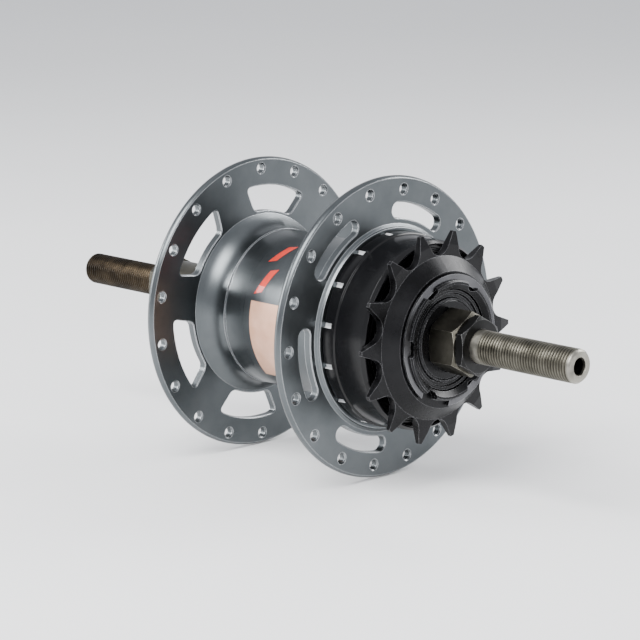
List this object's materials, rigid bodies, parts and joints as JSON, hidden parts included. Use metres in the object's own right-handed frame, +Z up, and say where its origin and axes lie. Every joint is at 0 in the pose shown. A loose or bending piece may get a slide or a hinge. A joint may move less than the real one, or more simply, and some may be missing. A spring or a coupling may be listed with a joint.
{
  "type": "bicycle hub gear",
  "caption": "Internally geared rear bicycle hub with a flanged shell, threaded axle, black driver drum and dished sprocket, around a planetary gear train.",
  "frame": {"origin": "middle of the axle, halfway between the two dropout faces", "axes": "+X along the axle towards the drive side, +Z up, -Y towards the rear when the bicycle faces +Y"},
  "size_m": [0.2084, 0.091, 0.091],
  "materials": {
    "shell_aluminium": "satin anodised",
    "label_film": "gloss",
    "black_drum": "gloss",
    "black_oxide": "black oxide",
    "axle_steel": "worn",
    "nut_steel": "worn",
    "black_nut": "black oxide",
    "hard_steel": "ground",
    "ball_steel": "polished",
    "cage_steel": "pressed",
    "spring_steel": "drawn wire",
    "cap_steel": "pressed"
  },
  "bodies": {
    "axle": {"axle": "axle_steel", "sun_gear": "hard_steel", "left_cone": "hard_steel", "left_lock_washer": "nut_steel", "left_spacer": "nut_steel", "left_lock_nut": "nut_steel", "right_cone": "black_oxide", "right_dust_cap": "black_oxide", "right_cone_nut": "nut_steel", "right_lock_nut": "black_nut", "clutch_spring": "spring_steel"},
    "driver": {"driver": "black_oxide", "drum_dust_cap": "black_drum", "sprocket_spacer": "black_oxide"},
    "ring_gear": {"ring_gear": "hard_steel", "ring_pawl_pins": "hard_steel", "ring_pawl_springs": "spring_steel"},
    "planet_cage": {"planet_cage": "hard_steel", "planet_pins": "hard_steel", "cage_pawl_pins": "hard_steel", "cage_pawl_springs": "spring_steel"},
    "hub_shell": {"hub_shell": "shell_aluminium", "shell_label": "label_film", "right_ball_cup": "black_drum", "left_ball_cup": "hard_steel", "left_dust_cap": "cap_steel"},
    "clutch": {"clutch": "hard_steel"},
    "shift_rod": {"shift_rod": "hard_steel", "shift_key": "hard_steel"},
    "left_bearing": {"left_balls": "ball_steel", "left_ball_cage": "cage_steel"},
    "outer_bearing": {"outer_balls": "ball_steel", "outer_ball_cage": "cage_steel"},
    "inner_bearing": {"inner_balls": "ball_steel", "inner_ball_cage": "cage_steel"},
    "sprocket": {"sprocket": "black_oxide"},
    "snap_ring": {"snap_ring": "spring_steel"},
    "planet_gear_1": {"planet_gear_1": "hard_steel"},
    "planet_gear_2": {"planet_gear_2": "hard_steel"},
    "planet_gear_3": {"planet_gear_3": "hard_steel"},
    "ring_pawl_1": {"ring_pawl_1": "hard_steel"},
    "cage_pawl_1": {"cage_pawl_1": "hard_steel"},
    "ring_pawl_2": {"ring_pawl_2": "hard_steel"},
    "cage_pawl_2": {"cage_pawl_2": "hard_steel"}
  },
  "joints": [
    {"name": "driver_spin", "type": "hinge", "parent": "axle", "child": "driver", "pos_m": [0, 0, 0], "axis": [1, 0, 0], "continuous": true},
    {"name": "ring_gear_spin", "type": "hinge", "parent": "axle", "child": "ring_gear", "pos_m": [0, 0, 0], "axis": [1, 0, 0], "continuous": true},
    {"name": "planet_cage_spin", "type": "hinge", "parent": "axle", "child": "planet_cage", "pos_m": [0, 0, 0], "axis": [1, 0, 0], "continuous": true},
    {"name": "left_bearing_roll", "type": "hinge", "parent": "axle", "child": "left_bearing", "pos_m": [0, 0, 0], "axis": [1, 0, 0], "continuous": true},
    {"name": "inner_bearing_roll", "type": "hinge", "parent": "axle", "child": "inner_bearing", "pos_m": [0, 0, 0], "axis": [1, 0, 0], "continuous": true},
    {"name": "planet_1_spin", "type": "hinge", "parent": "planet_cage", "child": "planet_gear_1", "pos_m": [0.0005, 0, 0.01238], "axis": [1, 0, 0], "continuous": true},
    {"name": "planet_2_spin", "type": "hinge", "parent": "planet_cage", "child": "planet_gear_2", "pos_m": [0.0005, -0.01072, -0.00619], "axis": [1, 0, 0], "continuous": true},
    {"name": "planet_3_spin", "type": "hinge", "parent": "planet_cage", "child": "planet_gear_3", "pos_m": [0.0005, 0.01072, -0.00619], "axis": [1, 0, 0], "continuous": true},
    {"name": "freewheel", "type": "hinge", "parent": "ring_gear", "child": "hub_shell", "pos_m": [0, 0, 0], "axis": [1, 0, 0], "continuous": true},
    {"name": "outer_bearing_roll", "type": "hinge", "parent": "driver", "child": "outer_bearing", "pos_m": [0, 0, 0], "axis": [1, 0, 0], "continuous": true},
    {"name": "ring_pawl_1_tilt", "type": "hinge", "parent": "ring_gear", "child": "ring_pawl_1", "pos_m": [0.0306, 0, 0.0189], "axis": [1, 0, 0], "range_deg": [-12, 0]},
    {"name": "cage_pawl_1_tilt", "type": "hinge", "parent": "planet_cage", "child": "cage_pawl_1", "pos_m": [-0.0219, 0, 0.0134], "axis": [1, 0, 0], "range_deg": [-8, 0]},
    {"name": "ring_pawl_2_tilt", "type": "hinge", "parent": "ring_gear", "child": "ring_pawl_2", "pos_m": [0.0306, 0, -0.0189], "axis": [1, 0, 0], "range_deg": [-12, 0]},
    {"name": "cage_pawl_2_tilt", "type": "hinge", "parent": "planet_cage", "child": "cage_pawl_2", "pos_m": [-0.0219, 0, -0.0134], "axis": [1, 0, 0], "range_deg": [-8, 0]},
    {"name": "shift_rod_slide", "type": "slide", "parent": "axle", "child": "shift_rod", "axis": [1, 0, 0], "range_m": [-0.0073, 0.004], "deforming": ["clutch_spring"]},
    {"name": "clutch_slide", "type": "slide", "parent": "driver", "child": "clutch", "axis": [1, 0, 0], "range_m": [-0.0073, 0.004]},
    {"name": "sprocket_off", "type": "slide", "parent": "driver", "child": "sprocket", "axis": [1, 0, 0], "range_m": [0, 0.095]},
    {"name": "snap_ring_off", "type": "slide", "parent": "driver", "child": "snap_ring", "axis": [1, 0, 0], "range_m": [0, 0.10925], "deforming": ["snap_ring"]}
  ],
  "couplings": [
    {"joint": "ring_gear_spin", "follows": "driver_spin", "ratio": 1},
    {"joint": "planet_cage_spin", "follows": "driver_spin", "ratio": 0.72727},
    {"joint": "left_bearing_roll", "follows": "driver_spin", "ratio": 0.57857},
    {"joint": "inner_bearing_roll", "follows": "driver_spin", "ratio": 0.56734},
    {"joint": "planet_1_spin", "follows": "driver_spin", "ratio": 0.87273},
    {"joint": "planet_2_spin", "follows": "driver_spin", "ratio": 0.87273},
    {"joint": "planet_3_spin", "follows": "driver_spin", "ratio": 0.87273},
    {"joint": "ring_pawl_2_tilt", "follows": "ring_pawl_1_tilt", "ratio": 1},
    {"joint": "cage_pawl_2_tilt", "follows": "cage_pawl_1_tilt", "ratio": 1},
    {"joint": "clutch_slide", "follows": "shift_rod_slide", "ratio": 1},
    {"joint": "snap_ring_off", "follows": "sprocket_off", "ratio": 1.15}
  ]
}
